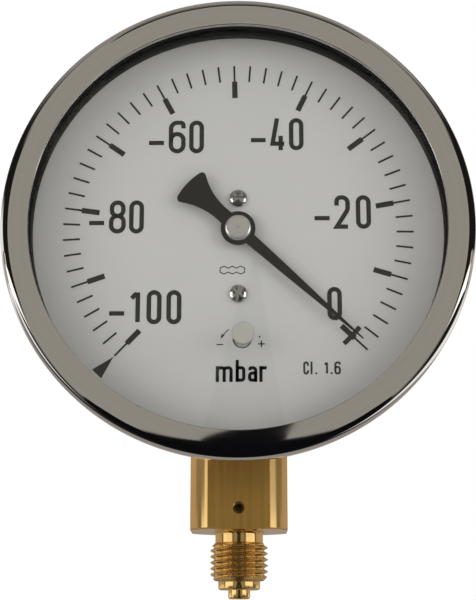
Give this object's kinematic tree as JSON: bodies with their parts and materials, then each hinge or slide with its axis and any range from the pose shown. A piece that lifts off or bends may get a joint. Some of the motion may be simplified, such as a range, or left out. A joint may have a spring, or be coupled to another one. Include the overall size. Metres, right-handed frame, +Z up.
{
  "type": "manometer",
  "caption": "Round dial capsule manometer with crimped steel bezel, printed vacuum scale, pointer movement and a threaded brass bottom stem.",
  "frame": {"origin": "on the stem's axis, at the middle of its thread", "axes": "+Z up along the stem's axis to the case; -Y is the way the dial faces; +X is to the dial's right"},
  "size_m": [0.104, 0.0521, 0.1315],
  "materials": {
    "stem_brass": "turned and milled brass, brushed flats",
    "bezel_steel": "polished stainless steel",
    "case_steel": "satin stainless steel",
    "window_glass": "clear flat pane",
    "black_rubber": "black elastomer",
    "black_ring": "black plastic ring",
    "clear_plug": "translucent plastic",
    "dial_white": "matt white paint",
    "print_black": "black print",
    "pointer_black": "matt black paint",
    "bright_steel": "turned, bright",
    "movement_brass": "blanked and drilled sheet",
    "zinc_steel": "zinc plated",
    "spring_bronze": "pressed spring bronze"
  },
  "bodies": {
    "gauge": {"stem": "stem_brass", "case": "case_steel", "bezel_ring": "bezel_steel", "window": "window_glass", "window_gasket": "black_rubber", "spacer_ring": "black_ring", "zero_plug": "clear_plug", "dial": "dial_white", "scale_marks": "print_black", "dial_screws": "bright_steel", "dial_posts": "movement_brass", "movement_front_plate": "movement_brass", "movement_back_plate": "movement_brass", "movement_pillars": "movement_brass", "plate_screws": "bright_steel", "bridge": "zinc_steel", "bridge_spacers": "movement_brass", "carrier_screws": "bright_steel", "capsule_front": "spring_bronze", "capsule_back": "spring_bronze", "capsule_inlet": "movement_brass", "inlet_nut": "movement_brass", "inlet_tube": "spring_bronze", "capsule_plate": "zinc_steel", "stem_seal": "black_rubber", "saddle_washer": "zinc_steel", "stem_nut": "movement_brass", "vent_plug": "black_rubber", "hairspring": "spring_bronze", "spring_stud": "movement_brass", "zero_bush": "movement_brass"},
    "pointer": {"pointer": "pointer_black", "pointer_bush": "bright_steel", "pinion_arbor": "bright_steel", "spring_collet": "movement_brass"},
    "sector": {"sector_gear": "movement_brass", "sector_arbor": "bright_steel", "sector_pin": "bright_steel"},
    "link": {"link": "zinc_steel"},
    "rocker": {"rocker_shaft": "bright_steel", "push_arm": "zinc_steel", "drive_arm": "zinc_steel", "rocker_pin": "bright_steel"},
    "capsule_centre": {"capsule_boss": "movement_brass"},
    "zero_adjuster": {"zero_screw": "bright_steel"}
  },
  "joints": [
    {"name": "pointer_turn", "type": "hinge", "parent": "gauge", "child": "pointer", "pos_m": [0, -0.026, 0.07125], "axis": [0, -1, 0], "range_deg": [0, 270], "stiffness_Nm_per_rad": 0.0013, "deforming": ["hairspring"]},
    {"name": "sector_swing", "type": "hinge", "parent": "gauge", "child": "sector", "pos_m": [-0.01167, -0.0175, 0.08292], "axis": [0, 1, 0], "range_deg": [0, 27]},
    {"name": "link_turn", "type": "hinge", "parent": "sector", "child": "link", "pos_m": [-0.015, -0.01897, 0.08212], "axis": [0, 1, 0], "range_deg": [-27, 0]},
    {"name": "rocker_tilt", "type": "hinge", "parent": "gauge", "child": "rocker", "pos_m": [0, -0.009, 0.05875], "axis": [-1, 0, 0], "range_deg": [0, 9.19]},
    {"name": "capsule_travel", "type": "slide", "parent": "gauge", "child": "capsule_centre", "axis": [0, 1, 0], "range_m": [0, 0.002], "deforming": ["capsule_front", "capsule_back"]},
    {"name": "zero_screw_turn", "type": "hinge", "parent": "gauge", "child": "zero_adjuster", "pos_m": [0.0009, -0.023, 0.04665], "axis": [0, -1, 0], "range_deg": [-180, 180]}
  ],
  "couplings": [
    {"joint": "sector_swing", "follows": "pointer_turn", "ratio": 0.1},
    {"joint": "link_turn", "follows": "pointer_turn", "ratio": -0.1},
    {"joint": "rocker_tilt", "follows": "pointer_turn", "ratio": 0.03402},
    {"joint": "capsule_travel", "follows": "pointer_turn", "m_per_rad": 0.00042441}
  ]
}
